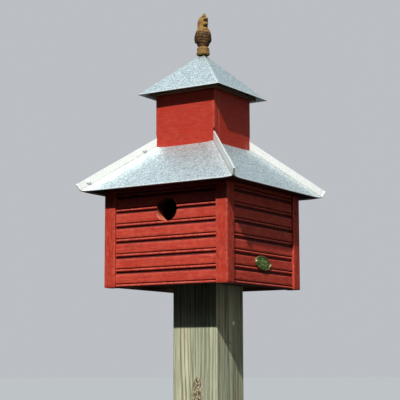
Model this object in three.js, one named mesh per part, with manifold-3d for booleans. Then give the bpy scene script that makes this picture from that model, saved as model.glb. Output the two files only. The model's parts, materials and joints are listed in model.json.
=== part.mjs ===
// Birdhouse: a square nest box with beaded-board walls, a hipped sheet-metal roof, a cupola with its
// own pyramid roof and an iron bird finial, fixed on top of a square timber post.
// Millimetres, +Z up. The origin is the middle of the post's foot face, straight under the box's axis.
// The front wall, with the entry hole, faces -Y, and the plaque is on the +X wall.

import * as THREE from "three";
import { mergeVertices } from "three/addons/utils/BufferGeometryUtils.js";
import Module from "manifold-3d";

const wasm = await Module();
wasm.setup();

// ---------------------------------------------------------------- driving dimensions

const GAP = 0.3; // clearance between pieces that touch
const THROUGH = 60; // a cutter longer than any board is thick
const DEG = Math.PI / 180;

// Post. The post's axis stands a little off the box's axis.
const POST_SIDE = 89;
const POST_EDGE_RADIUS = 2.5;
const POST_STUB = 300; // from the post's foot to the underside of the walls
const POST_AXIS = new THREE.Vector2(11.8, -4.3);

// Nest box. Heights from here on are measured from the underside of the walls.
const BOX_HALF = 124.3; // to the outer faces of the corner posts
const CORNER_SIDE = 22.2;
const SIDING_THICK = 19;
const SIDING_FACE = BOX_HALF - 3.2; // the flats of the siding, from the box's axis
const INNER_HALF = SIDING_FACE - SIDING_THICK;
const SOFFIT_UNDER = 168; // underside of the roof base board, and so the top of the walls
const BOARD_THICK = 19;
const BASE_BOARD_HALF = 149; // the roof base board's underside
const FLOOR_UNDER = 6;
const FLOOR_CORNER_CLIP = 9;

// Beaded siding: each repeat is a flat, a quirk, a half-round bead and a deep groove.
const REPEAT = 25.9;
const FIRST_BEAD = 2.95; // height of the lowest bead's axis
const BEAD_RADIUS = 2;
const QUIRK_DEPTH = 2;
const QUIRK_HEIGHT = 1.8;
const GROOVE_DEPTH = 3.8;
const GROOVE_HEIGHT = 4;
const WALL_UNDER = FIRST_BEAD - BEAD_RADIUS;

const HOLE = { x: 3, z: 127.7, radius: 20 };

// Clean-out door: the rear wall, on two pivot screws near its top.
const DOOR_TOP = 164;
const DOOR_SIDE_GAP = 1;
const PIVOT_HEIGHT = 138;
const BUTTON = { z: 44, wide: 15, thick: 7, tail: 34, nose: 11 };

// Lower roof.
const ROOF_PITCH = 40.9 * DEG;
const EAVE_HALF = 155.2;
const EAVE_Z = 167.4;
const SHEET = 0.8;
const EAVE_HEM = { long: 7, thick: 1.9 };
const SEAM_HIGH = 13; // flange, square to the hip
const SEAM_INNER_R = 76; // the flanges' inner ends, measured along the diagonal
const RIVET_FROM_END = 21;
const RIVET_UP = 6.8;

// Cupola and its roof.
const CUPOLA_HALF = 60.7;
const CUPOLA_BOARD = 14;
const CUPOLA_TOP = 341;
const SLOT_WIDE = 3.4;
const SLOT_TOP = 271;
const TOP_PLATE = { half: 69, thick: 11 };
const CAP_PITCH = 44 * DEG;
const CAP_HALF = 84;
const CAP_EAVE_Z = 342.3;
const CAP_APEX_Z = CAP_EAVE_Z + CAP_HALF * Math.tan(CAP_PITCH);
const CAP_TRUNCATED = 3.3; // the apex is cut off this far down, and the finial stands there
const BLOCK = { half: 23, tall: 40, top: 9 };
const BOLT = { radius: 2.5, below: 34, above: 10 }; // from the cut-off apex

// Finial.
const FINIAL_TOP = 498.4;
const COLLAR_RADIUS = 12;
const NECK_RADIUS = 8.1; // of the bird, under its head
const BIRD_FLAT = 0.92; // the body's depth over its width
const BIRD_TURN = 33 * DEG; // the bird is drawn facing -Y, and looks a little to one side

// Plaque, on the +X wall.
const PLAQUE = { y: -5, z: 38.8, long: 52.4, high: 24.6, thick: 2.2, tilt: -6 * DEG };
const FIELD = { long: 43, high: 21, deep: 0.9 }; // the sunk field inside the plaque's rim
const BRAD_FROM_CENTRE = 23.8;

// ---------------------------------------------------------------- materials

const paint = { barn_red: 0xb83a2c };
const finishes = {
  red: { color: paint.barn_red, roughness: 0.6, metalness: 0 },
  steel: { color: 0xc3cccc, roughness: 0.4, metalness: 0.9 },
  zinc: { color: 0xb9bcbe, roughness: 0.3, metalness: 1 },
  iron: { color: 0x8a5526, roughness: 0.9, metalness: 0.3 },
  pine: { color: 0xb4ab8e, roughness: 0.85, metalness: 0 },
  cedar: { color: 0xc39a66, roughness: 0.8, metalness: 0 },
  brass: { color: 0xb3934d, roughness: 0.35, metalness: 1 },
  enamel: { color: 0x2f5a34, roughness: 0.3, metalness: 0.1 },
};

// ---------------------------------------------------------------- solids

function toSolid(geometry) {
  const bare = geometry.clone();
  bare.deleteAttribute("normal");
  bare.deleteAttribute("uv");
  const merged = mergeVertices(bare, 1e-4);
  return new wasm.Manifold(
    new wasm.Mesh({
      numProp: 3,
      vertProperties: merged.attributes.position.array,
      triVerts: new Uint32Array(merged.index.array),
    }),
  );
}

function toGeometry(solid) {
  const mesh = solid.getMesh();
  const geometry = new THREE.BufferGeometry();
  geometry.setAttribute("position", new THREE.BufferAttribute(mesh.vertProperties, 3));
  geometry.setIndex(new THREE.BufferAttribute(mesh.triVerts, 1));
  return geometry;
}

function cut(geometry, ...tools) {
  let solid = toSolid(geometry);
  for (const tool of tools) solid = solid.subtract(toSolid(tool));
  return toGeometry(solid);
}

function join(...geometries) {
  return toGeometry(geometries.map(toSolid).reduce((all, next) => all.add(next)));
}

function clip(geometry, keep) {
  return toGeometry(toSolid(geometry).intersect(toSolid(keep)));
}

// A box from its lowest to its highest corner.
function block(low, high) {
  const size = high.map((value, i) => value - low[i]);
  const middle = high.map((value, i) => (value + low[i]) / 2);
  return new THREE.BoxGeometry(...size).translate(...middle);
}

const ALONG = {
  x: (g) => g.rotateZ(-90 * DEG),
  y: (g) => g,
  z: (g) => g.rotateX(90 * DEG),
};

// A round rod centred on `at`, along one of the axes.
function rod(axis, radius, length, at, sides = 24) {
  return ALONG[axis](new THREE.CylinderGeometry(radius, radius, length, sides)).translate(...at);
}

// A turned piece: pairs of radius and height, from the axis back to the axis, turned about +Z.
function turned(pairs, sides = 16) {
  const points = pairs.map(([r, z]) => new THREE.Vector2(r, z));
  return new THREE.LatheGeometry(points, sides).rotateX(90 * DEG);
}

// An outline of pairs, or a Shape, extruded upwards from z = 0.
function slab(outline, thick, curveSegments = 6) {
  const shape = Array.isArray(outline)
    ? new THREE.Shape(outline.map((p) => new THREE.Vector2(...p)))
    : outline;
  return new THREE.ExtrudeGeometry(shape, { depth: thick, bevelEnabled: false, curveSegments });
}

const UP = new THREE.Vector3(0, 0, 1);

// Stands an outline, drawn as (outwards, height), on the front side and runs it along X.
function alongFront(outline, low, high) {
  const stand = new THREE.Matrix4().makeBasis(
    new THREE.Vector3(0, -1, 0),
    UP,
    new THREE.Vector3(-1, 0, 0),
  );
  return slab(outline, high - low).applyMatrix4(stand).translate(high, 0, 0);
}

// Stands an outline, drawn as (distance from the axis, height), in the vertical plane at `angle`.
function inUprightPlane(outline, thick, angle) {
  const away = new THREE.Vector3(Math.cos(angle), Math.sin(angle), 0);
  const across = new THREE.Vector3().crossVectors(away, UP);
  const stand = new THREE.Matrix4().makeBasis(away, UP, across);
  return slab(outline, thick)
    .translate(0, 0, -thick / 2)
    .applyMatrix4(stand);
}

// A wood screw with its head's underside at z = 0 and its tip at z = -length.
function screwGeometry({ head, headHigh, shank, length, dome = 0.5 }) {
  return turned([
    [0, -length],
    [shank, -length + shank * 1.6],
    [shank, 0],
    [head, 0],
    [head, headHigh * (1 - dome)],
    [head * 0.72, headHigh * 0.9],
    [0, headHigh],
  ]);
}

function countersunkGeometry({ head, shank, length }) {
  return turned([
    [0, -length],
    [shank, -length + shank * 1.6],
    [shank, shank - head],
    [head, 0],
    [0, 0],
  ]);
}

// ---------------------------------------------------------------- scene graph

const birdhouse = new THREE.Group();
const house = new THREE.Group();
house.position.z = POST_STUB;
birdhouse.add(house);

// One group for each side of the box, drawn as the front and turned about the axis.
const SIDES = ["front", "right", "rear", "left"];
const sideGroups = Object.fromEntries(
  SIDES.map((side, quarter) => {
    const group = new THREE.Group();
    group.rotation.z = quarter * 90 * DEG;
    house.add(group);
    return [side, group];
  }),
);

function add(parent, name, geometry, finish) {
  const mesh = new THREE.Mesh(geometry, new THREE.MeshStandardMaterial(finishes[finish]));
  mesh.name = name;
  parent.add(mesh);
  return mesh;
}

// ---------------------------------------------------------------- post

const LAG = { shank: 4, head: 7, headHigh: 5, length: 80, apart: 25 };
const FACE_SCREW = { y: 4.8, z: -61, shank: 2, length: 30 };
const lagPlaces = [-1, 1].map((s) => [POST_AXIS.x + s * LAG.apart, POST_AXIS.y]);
const FLOOR_TOP = FLOOR_UNDER + BOARD_THICK;

function roundedSquare(side, radius) {
  const shape = new THREE.Shape();
  const reach = side / 2 - radius;
  const corners = [
    [1, -1],
    [1, 1],
    [-1, 1],
    [-1, -1],
  ];
  corners.forEach(([sx, sy], i) => {
    const from = (i - 1) * 90 * DEG;
    shape.absarc(sx * reach, sy * reach, radius, from, from + 90 * DEG, false);
  });
  shape.closePath();
  return shape;
}

{
  const tall = POST_STUB + FLOOR_UNDER - GAP;
  const timber = slab(roundedSquare(POST_SIDE, POST_EDGE_RADIUS), tall, 4).translate(
    POST_AXIS.x,
    POST_AXIS.y,
    -POST_STUB,
  );
  const lagHoles = lagPlaces.map(([x, y]) =>
    rod("z", LAG.shank + GAP, 160, [x, y, FLOOR_TOP - LAG.length - 2 + 80], 16),
  );
  const faceX = POST_AXIS.x + POST_SIDE / 2;
  const screwHole = rod(
    "x",
    FACE_SCREW.shank + GAP,
    2 * FACE_SCREW.length + 4,
    [faceX, FACE_SCREW.y, FACE_SCREW.z],
    16,
  );
  add(house, "post", cut(timber, ...lagHoles, screwHole), "pine");

  const screw = screwGeometry({ head: 3.4, headHigh: 1.9, ...FACE_SCREW });
  const mesh = add(house, "post_face_screw", screw, "zinc");
  mesh.rotation.y = 90 * DEG;
  mesh.position.set(faceX + GAP, FACE_SCREW.y, FACE_SCREW.z);
}

// ---------------------------------------------------------------- floor

{
  const half = INNER_HALF - GAP;
  const clipped = half - FLOOR_CORNER_CLIP;
  const outline = [];
  for (let quarter = 0; quarter < 4; quarter++) {
    const turn = ([x, y]) => {
      const p = new THREE.Vector2(x, y).rotateAround(new THREE.Vector2(), quarter * 90 * DEG);
      return [p.x, p.y];
    };
    outline.push(turn([half, -clipped]), turn([half, clipped]));
  }
  const board = slab(outline, BOARD_THICK).translate(0, 0, FLOOR_UNDER);
  const holes = lagPlaces.map(([x, y]) => rod("z", LAG.shank + GAP, THROUGH, [x, y, FLOOR_UNDER], 16));
  add(house, "floor_board", cut(board, ...holes), "cedar");

  // Hex head on a round flange, with a plain shank.
  const flange = turned([
    [0, -LAG.length],
    [LAG.shank, -LAG.length + 6],
    [LAG.shank, 0],
    [LAG.head + 2, 0],
    [LAG.head + 2, 1.2],
    [0, 1.2],
  ]);
  const hex = rod("z", LAG.head, LAG.headHigh, [0, 0, 1 + LAG.headHigh / 2], 6);
  const lag = join(flange, hex);
  lagPlaces.forEach(([x, y], i) => {
    const mesh = add(house, `floor_lag_screw_${["left", "right"][i]}`, lag, "zinc");
    mesh.position.set(x, y, FLOOR_TOP + GAP);
  });
}

// ---------------------------------------------------------------- corner posts

const cornerAxis = BOX_HALF - CORNER_SIDE / 2;
const SOFFIT_SCREW = { head: 4.2, shank: 2, length: 42 };
const SOFFIT_TOP = SOFFIT_UNDER + BOARD_THICK;
const PIVOT_SCREW = { head: 4.4, headHigh: 2.6, shank: 2.2, length: 46 };
const pivotY = (SIDING_FACE + INNER_HALF) / 2;
const BUTTON_SCREW = { head: 4, headHigh: 2.4, shank: 2, length: 26 };

for (const [name, sx, sy] of [
  ["front_left", -1, -1],
  ["front_right", 1, -1],
  ["rear_left", -1, 1],
  ["rear_right", 1, 1],
]) {
  const x = sx * cornerAxis;
  const y = sy * cornerAxis;
  const timber = slab(roundedSquare(CORNER_SIDE, 1), SOFFIT_UNDER - GAP, 2).translate(x, y, 0);
  const depth = SOFFIT_SCREW.length - BOARD_THICK + 4;
  const holes = [rod("z", SOFFIT_SCREW.shank + GAP, 2 * depth, [x, y, SOFFIT_UNDER], 16)];
  if (sy > 0) holes.push(rod("x", PIVOT_SCREW.shank + GAP, 40, [x, pivotY, PIVOT_HEIGHT], 16));
  if (name === "rear_right")
    holes.push(rod("y", BUTTON_SCREW.shank + GAP, 40, [x, BOX_HALF, BUTTON.z], 16));
  add(house, `corner_post_${name}`, cut(timber, ...holes), "red");

  const screw = add(house, `roof_base_screw_${name}`, countersunkGeometry(SOFFIT_SCREW), "zinc");
  screw.position.set(x, y, SOFFIT_TOP - GAP);
}

// ---------------------------------------------------------------- walls

// The siding's section, drawn as (outwards from the box's axis, height).
function sidingOutline(top) {
  const face = SIDING_FACE;
  const shape = new THREE.Shape();
  shape.moveTo(INNER_HALF, WALL_UNDER);
  for (let bead = FIRST_BEAD; bead < top; bead += REPEAT) {
    const flatTop = bead + REPEAT - BEAD_RADIUS - GROOVE_HEIGHT;
    shape.lineTo(face - BEAD_RADIUS, bead - BEAD_RADIUS);
    shape.absarc(face - BEAD_RADIUS, bead, BEAD_RADIUS, -90 * DEG, 90 * DEG, false);
    shape.lineTo(face - QUIRK_DEPTH, bead + BEAD_RADIUS);
    shape.lineTo(face - QUIRK_DEPTH, bead + BEAD_RADIUS + QUIRK_HEIGHT / 2);
    shape.lineTo(face, bead + BEAD_RADIUS + QUIRK_HEIGHT);
    if (flatTop > top) break;
    shape.lineTo(face, flatTop);
    shape.lineTo(face - GROOVE_DEPTH, flatTop + 0.5);
    shape.lineTo(face - GROOVE_DEPTH, flatTop + GROOVE_HEIGHT);
  }
  shape.lineTo(face, top);
  shape.lineTo(INNER_HALF, top);
  shape.closePath();
  return shape;
}

const wallHalf = INNER_HALF - GAP;
const wall = alongFront(sidingOutline(SOFFIT_UNDER - GAP), -wallHalf, wallHalf);
const entryCutter = rod("y", HOLE.radius, THROUGH, [HOLE.x, -SIDING_FACE, HOLE.z], 48);
add(sideGroups.front, "front_wall", cut(wall, entryCutter), "red");
add(sideGroups.left, "left_wall", wall, "red");

// ---------------------------------------------------------------- plaque, on the right wall

const plaqueGroup = new THREE.Group();
plaqueGroup.position.set(SIDING_FACE + GAP, PLAQUE.y, PLAQUE.z);
house.add(plaqueGroup);

// Plaque geometry is drawn flat, with X along the wall, and stood up facing +X.
const faceRight = new THREE.Matrix4()
  .makeBasis(new THREE.Vector3(0, 1, 0), UP, new THREE.Vector3(1, 0, 0))
  .multiply(new THREE.Matrix4().makeRotationZ(PLAQUE.tilt));

function ellipse(long, high) {
  const shape = new THREE.Shape();
  shape.absellipse(0, 0, long / 2, high / 2, 0, 360 * DEG, false, 0);
  return shape;
}

{
  const BRAD = { shank: 1, head: 1.9, headHigh: 1.2, length: 16 };
  const bradXs = [-BRAD_FROM_CENTRE, BRAD_FROM_CENTRE];
  const bradHole = (x, radius) => rod("z", radius, THROUGH, [x, 0, 0], 12);
  const plate = slab(ellipse(PLAQUE.long, PLAQUE.high), PLAQUE.thick, 20);
  const sunk = PLAQUE.thick - FIELD.deep;
  const recess = slab(ellipse(FIELD.long, FIELD.high), PLAQUE.thick, 20).translate(0, 0, sunk);
  const holes = bradXs.map((x) => bradHole(x, BRAD.shank + GAP));
  add(plaqueGroup, "plaque", cut(plate, recess, ...holes).applyMatrix4(faceRight), "brass");

  const field = slab(ellipse(FIELD.long - 2 * GAP, FIELD.high - 2 * GAP), FIELD.deep, 20);
  field.translate(0, 0, sunk + GAP);
  add(plaqueGroup, "plaque_field", field.applyMatrix4(faceRight), "enamel");

  const wallHoles = bradXs.map((x) =>
    bradHole(x, BRAD.shank + GAP)
      .applyMatrix4(faceRight)
      .translate(...plaqueGroup.position)
      .rotateZ(-90 * DEG),
  );
  add(sideGroups.right, "right_wall", cut(wall, ...wallHoles), "red");

  bradXs.forEach((x, i) => {
    const brad = screwGeometry({ ...BRAD, dome: 0.9 }).translate(x, 0, PLAQUE.thick + GAP);
    add(plaqueGroup, `plaque_brad_${["front", "rear"][i]}`, brad.applyMatrix4(faceRight), "brass");
  });
}

// ---------------------------------------------------------------- clean-out door

{
  const half = INNER_HALF - DOOR_SIDE_GAP;
  const panel = alongFront(sidingOutline(DOOR_TOP), -half, half);
  const bores = [-1, 1].map((s) =>
    rod("x", PIVOT_SCREW.shank + GAP, THROUGH, [s * half, -pivotY, PIVOT_HEIGHT], 16),
  );
  add(sideGroups.rear, "cleanout_door", cut(panel, ...bores), "red");

  for (const [name, side] of [
    ["left", -1],
    ["right", 1],
  ]) {
    const screw = add(house, `door_pivot_screw_${name}`, screwGeometry(PIVOT_SCREW), "zinc");
    screw.rotation.y = side * 90 * DEG;
    screw.position.set(side * (BOX_HALF + GAP), pivotY, PIVOT_HEIGHT);
  }
}

// ---------------------------------------------------------------- turn button

{
  const round = BUTTON.wide / 2;
  const shape = new THREE.Shape();
  shape.absarc(0, BUTTON.nose - round, round, 0, 180 * DEG, false);
  shape.absarc(0, round - BUTTON.tail, round, 180 * DEG, 360 * DEG, false);
  shape.closePath();
  const bar = cut(
    slab(shape, BUTTON.thick, 6),
    rod("z", BUTTON_SCREW.shank + GAP, THROUGH, [0, 0, 0], 16),
  );
  // Drawn face up, then stood on the rear face: its face to +Y, its tail hanging down.
  const faceRear = new THREE.Matrix4().makeBasis(
    new THREE.Vector3(-1, 0, 0),
    UP,
    new THREE.Vector3(0, 1, 0),
  );
  const button = add(house, "turn_button", bar.applyMatrix4(faceRear), "red");
  button.position.set(cornerAxis, BOX_HALF + GAP, BUTTON.z);

  const screw = add(house, "turn_button_screw", screwGeometry(BUTTON_SCREW), "zinc");
  screw.rotation.x = -90 * DEG;
  screw.position.set(cornerAxis, BOX_HALF + BUTTON.thick + 2 * GAP, BUTTON.z);
}

// ---------------------------------------------------------------- lower roof

const slope = Math.tan(ROOF_PITCH);
const roofHeight = (half) => EAVE_Z + (EAVE_HALF - half) * slope; // the sheet's outer face
const sheetRise = SHEET / Math.cos(ROOF_PITCH); // the sheet's thickness, measured upright

{
  // Roof base board: square, its edge bevelled to the roof's pitch just under the sheet.
  const clear = (EAVE_HALF - BASE_BOARD_HALF) * slope + EAVE_Z - SOFFIT_UNDER;
  const top = BASE_BOARD_HALF - BOARD_THICK / slope;
  if (clear < sheetRise + GAP) throw new Error("the roof base board meets the sheet");
  const frustum = new THREE.CylinderGeometry(
    top * Math.SQRT2,
    BASE_BOARD_HALF * Math.SQRT2,
    BOARD_THICK,
    4,
  )
    .rotateX(90 * DEG)
    .rotateZ(45 * DEG)
    .translate(0, 0, SOFFIT_UNDER + BOARD_THICK / 2);
  const holes = [];
  for (const sx of [-1, 1])
    for (const sy of [-1, 1]) {
      const sink = countersunkGeometry({
        head: SOFFIT_SCREW.head + 2 * GAP,
        shank: SOFFIT_SCREW.shank + GAP,
        length: SOFFIT_SCREW.length,
      });
      sink.scale(1, 1, 1.2).translate(sx * cornerAxis, sy * cornerAxis, SOFFIT_TOP + GAP);
      holes.push(sink);
    }
  add(house, "roof_base_board", cut(frustum, ...holes), "cedar");
}

// The hip line and the flange on it, in the upright diagonal plane.
const hipOuter = new THREE.Vector2(EAVE_HALF * Math.SQRT2, EAVE_Z);
const hipAt = (r) => new THREE.Vector2(r, roofHeight(r / Math.SQRT2));
const hipInwards = hipAt(SEAM_INNER_R).sub(hipOuter).normalize();
const hipNormal = new THREE.Vector2(-hipInwards.y, hipInwards.x).multiplyScalar(-1);
const seamTopOuter = hipOuter.clone().addScaledVector(hipNormal, SEAM_HIGH);
const seamTopInner = hipAt(SEAM_INNER_R).add(
  new THREE.Vector2(0, SEAM_HIGH / Math.abs(hipInwards.x)),
);
const seamLength = hipOuter.distanceTo(hipAt(CUPOLA_HALF * Math.SQRT2));
const DIAGONALS = { front_right: -45, rear_right: 45, rear_left: 135, front_left: 225 };

const rivetPlaces = {
  lower: RIVET_FROM_END,
  upper: seamLength - RIVET_FROM_END,
};
const rivetAt = (along) =>
  hipOuter.clone().addScaledVector(hipInwards, along).addScaledVector(hipNormal, RIVET_UP);
const RIVET = { shank: 1.6, head: 4, headHigh: 2 };
const SEAM_THICK = 2 * (SHEET + 0.2); // both flanges and the hairline between them

// Turns a rivet drawn along +Z to lie across a seam.
function acrossSeam(geometry, angle, along) {
  const away = new THREE.Vector3(Math.cos(angle), Math.sin(angle), 0);
  const across = new THREE.Vector3().crossVectors(away, UP);
  const at = rivetAt(along);
  const place = new THREE.Matrix4()
    .makeBasis(away, UP, across)
    .setPosition(away.x * at.x, away.y * at.x, at.y);
  return geometry.applyMatrix4(place);
}

{
  // One panel, drawn for the front: the sloping sheet, its eave hem and a flange on each hip.
  const inner = CUPOLA_HALF + 0.6;
  const down = (half, by) => [half, roofHeight(half) - by / Math.cos(ROOF_PITCH)];
  const hemEnd = EAVE_HALF - EAVE_HEM.long * Math.cos(ROOF_PITCH);
  const section = [
    down(EAVE_HALF, 0),
    down(inner, 0),
    down(inner, SHEET),
    down(hemEnd, SHEET),
    down(hemEnd, EAVE_HEM.thick),
    down(EAVE_HALF, EAVE_HEM.thick),
  ];
  const sheet = alongFront(section, -EAVE_HALF, EAVE_HALF);
  const flangeOutline = [
    [hipOuter.x - 0.6, hipOuter.y - 0.6],
    [seamTopOuter.x, seamTopOuter.y],
    [seamTopInner.x, seamTopInner.y],
    [SEAM_INNER_R, hipAt(SEAM_INNER_R).y - 0.6],
  ];
  const flanges = [-45, 225].map((a) => inUprightPlane(flangeOutline, SEAM_THICK, a * DEG));
  const far = 260;
  const hairline = 0.2 * Math.SQRT2;
  const wedge = slab(
    [
      [0, -hairline],
      [-far, -far - hairline],
      [far, -far - hairline],
    ],
    800,
  );
  const holes = [-45, 225].flatMap((a) =>
    Object.values(rivetPlaces).map((along) =>
      acrossSeam(rod("z", RIVET.shank + GAP, 20, [0, 0, 0], 12), a * DEG, along),
    ),
  );
  const panel = cut(clip(join(sheet, ...flanges), wedge), ...holes);
  for (const side of SIDES) add(sideGroups[side], `roof_panel_${side}`, panel, "steel");
}

{
  const head = SEAM_THICK / 2 + GAP;
  const { shank, headHigh } = RIVET;
  const dome = (r, from, to) =>
    [0, 30, 60].map((a) => [r * Math.cos(a * DEG), from + (to - from) * Math.sin(a * DEG)]);
  const tail = { radius: 2.4, high: 1.2 };
  // The domed heads face the same way round the roof: the front left hip's face the front.
  const rivet = turned(
    [
      [0, -head - tail.high],
      [tail.radius * 0.8, -head - tail.high * 0.8],
      [tail.radius, -head],
      [shank, -head],
      [shank, head],
      ...dome(RIVET.head, head, head + headHigh),
      [0, head + headHigh],
    ],
    12,
  ).rotateX(180 * DEG);
  for (const [hip, angle] of Object.entries(DIAGONALS))
    for (const [where, along] of Object.entries(rivetPlaces)) {
      const placed = acrossSeam(rivet.clone(), angle * DEG, along);
      add(house, `seam_rivet_${hip}_${where}`, placed, "zinc");
    }
}

// ---------------------------------------------------------------- cupola

{
  const bottom = SOFFIT_TOP + GAP;
  const slots = Object.values(DIAGONALS).map((angle) =>
    inUprightPlane(
      [
        [SEAM_INNER_R - 2, bottom - 1],
        [SEAM_INNER_R + 40, bottom - 1],
        [SEAM_INNER_R + 40, SLOT_TOP],
        [SEAM_INNER_R - 2, SLOT_TOP],
      ],
      SLOT_WIDE,
      angle * DEG,
    ),
  );
  const face = CUPOLA_HALF;
  const back = face - CUPOLA_BOARD;
  const wide = block([-face, -face, bottom], [face, -back, CUPOLA_TOP]);
  const narrow = block([-back + GAP, -face, bottom], [back - GAP, -back, CUPOLA_TOP]);
  for (const side of SIDES) {
    const board = side === "front" || side === "rear" ? cut(wide, ...slots) : narrow;
    add(sideGroups[side], `cupola_${side}`, board, "red");
  }

  const { half, thick } = TOP_PLATE;
  const plateUnder = CUPOLA_TOP + GAP;
  const plate = block([-half, -half, plateUnder], [half, half, plateUnder + thick]);
  add(house, "cupola_top_plate", plate, "cedar");

  const blockUnder = plateUnder + thick + GAP;
  const pyramid = new THREE.CylinderGeometry(
    BLOCK.top * Math.SQRT2,
    BLOCK.half * Math.SQRT2,
    BLOCK.tall,
    4,
  )
    .rotateX(90 * DEG)
    .rotateZ(45 * DEG)
    .translate(0, 0, blockUnder + BLOCK.tall / 2);
  const capTop = CAP_APEX_Z - CAP_TRUNCATED;
  const boreLong = 80;
  const boreMiddle = [0, 0, capTop - BOLT.below - 2 + boreLong / 2];
  const boltBore = rod("z", BOLT.radius + GAP, boreLong, boreMiddle, 16);
  add(house, "finial_block", cut(pyramid, boltBore), "cedar");

  // The cupola roof: one sheet folded to a pyramid, open below.
  const tall = CAP_APEX_Z - CAP_EAVE_Z;
  const cone = (drop) =>
    new THREE.ConeGeometry(CAP_HALF * Math.SQRT2, tall, 4)
      .rotateX(90 * DEG)
      .rotateZ(45 * DEG)
      .translate(0, 0, CAP_EAVE_Z + tall / 2 - drop);
  const keep = block([-100, -100, CAP_EAVE_Z], [100, 100, capTop]);
  const shell = clip(cut(cone(0), cone(SHEET / Math.cos(CAP_PITCH))), keep);
  const capBore = rod("z", BOLT.radius + GAP, 40, [0, 0, capTop], 16);
  add(house, "cupola_roof", cut(shell, capBore), "steel");

  // Hanger bolt, from inside the finial's collar down into the block.
  const boltTop = capTop + BOLT.above;
  const bolt = turned(
    [
      [0, capTop - BOLT.below],
      [BOLT.radius, capTop - BOLT.below + 5],
      [BOLT.radius, boltTop - 1],
      [BOLT.radius - 1, boltTop],
      [0, boltTop],
    ],
    12,
  );
  add(house, "finial_hanger_bolt", bolt, "zinc");

  // Finial: a flared collar under a perched bird, its wings folded.
  const foot = capTop + GAP;
  const outline = [
    [0, 0],
    [COLLAR_RADIUS - 1, 0],
    [COLLAR_RADIUS, 1.2],
    [COLLAR_RADIUS, 4],
    [COLLAR_RADIUS - 0.9, 12],
    [COLLAR_RADIUS - 2, 13.6],
    [8, 15.4],
    [9.6, 18.4],
    [11.6, 22.8],
    [13.4, 27],
    [14.2, 31.6],
    [13.9, 37],
    [12.5, 43.6],
    [10.4, 48],
    [8.6, 52],
    [NECK_RADIUS, 56],
    [NECK_RADIUS, 60],
    [0, 62],
  ];
  const ball = (rx, ry, rz, x, y, z) =>
    new THREE.SphereGeometry(1, 16, 12).rotateX(90 * DEG).scale(rx, ry, rz).translate(x, y, z);
  const head = ball(9.6, 8.2, 12, 0.2, 0, foot + 61.5);
  const crown = ball(3.6, 3.4, 5.6, 1.6, -0.4, FINIAL_TOP - 5.6);
  const beak = ball(4.2, 3.4, 2.4, 5, -5.4, foot + 67.4);
  const wattle = ball(4.8, 4, 3.4, 4.4, -5.4, foot + 58.6);
  const body = turned(outline, 24).scale(1, BIRD_FLAT, 1).translate(0, 0, foot);
  const bird = join(body, head, crown, beak, wattle).rotateZ(BIRD_TURN);
  const socket = rod("z", BOLT.radius + GAP, 2 * (BOLT.above + 1), [0, 0, foot], 16);
  add(house, "finial", cut(bird, socket), "iron");
}

export default birdhouse;
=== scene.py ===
"""Birdhouse on a post: its looks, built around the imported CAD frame. Metres, in the row frame."""

import json
import math

import bmesh
import bpy
from mathutils import Matrix, Vector, noise


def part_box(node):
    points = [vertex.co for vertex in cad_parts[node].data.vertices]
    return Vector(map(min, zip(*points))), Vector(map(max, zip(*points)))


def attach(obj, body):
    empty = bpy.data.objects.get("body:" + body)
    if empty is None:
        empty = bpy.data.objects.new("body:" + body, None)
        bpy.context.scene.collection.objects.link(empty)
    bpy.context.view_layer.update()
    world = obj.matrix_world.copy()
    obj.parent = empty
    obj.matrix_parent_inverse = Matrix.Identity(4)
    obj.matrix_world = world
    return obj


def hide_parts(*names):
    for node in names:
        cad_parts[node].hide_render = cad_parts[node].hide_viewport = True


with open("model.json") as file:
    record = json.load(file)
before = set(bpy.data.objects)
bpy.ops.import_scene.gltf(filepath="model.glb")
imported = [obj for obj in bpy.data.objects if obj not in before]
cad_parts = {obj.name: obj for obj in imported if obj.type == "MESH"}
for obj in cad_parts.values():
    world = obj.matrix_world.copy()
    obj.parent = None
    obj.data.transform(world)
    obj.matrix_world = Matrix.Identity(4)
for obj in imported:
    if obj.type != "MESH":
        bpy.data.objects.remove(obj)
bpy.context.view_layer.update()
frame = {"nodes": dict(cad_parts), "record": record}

MM = 0.001
DEG = math.pi / 180
SIDES = ("front", "right", "rear", "left")

# Sizes that the frame gives.
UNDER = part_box("corner_post_front_right")[0].z  # underside of the walls
SIDING_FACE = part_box("right_wall")[1].x
INNER_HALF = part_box("right_wall")[0].x
WALL_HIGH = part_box("right_wall")[1].z
DOOR_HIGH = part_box("cleanout_door")[1].z
CUPOLA_LOW, CUPOLA_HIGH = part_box("cupola_front")
CAP_LOW, CAP_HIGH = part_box("cupola_roof")
HOLE = next(o for o in frame["record"]["physics"]["openings"] if o["name"] == "entry_hole")
HOLE_MIDDLE = Vector([sum(pair) / 2 for pair in zip(*HOLE["box_m"])])
HOLE_MIDDLE.y = -SIDING_FACE
HOLE_RADIUS = 20 * MM


# ---- camera, light and floor

LENS = 106.6
CAMERA_TURN = (97.9 * DEG, -0.16 * DEG, 32.69 * DEG)  # up from straight down, roll and heading
CAMERA_AT = (1.11607, -1.75103, UNDER - 0.13064)

KEY_FROM = (0.229, -0.7, 0.686)
KEY_STRENGTH = 4.75
KEY_SOFTNESS = 1.2 * DEG
SIDE_FROM = (0.98, 0.1, 0.08)  # a broad, weak light on the right-hand sides
SIDE_STRENGTH = 0.37
SIDE_SOFTNESS = 70 * DEG
SKY = (0.02, 0.8)  # the fill light's strength from below and from overhead
SKY_COLOR = (0.76, 0.89, 1.0, 1)
SKY_RISE = (0.24, 0.88)  # the fill grows between these heights, 1 being straight up
BACKDROP = (0.5, 0.52, 0.55, 1)


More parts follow.
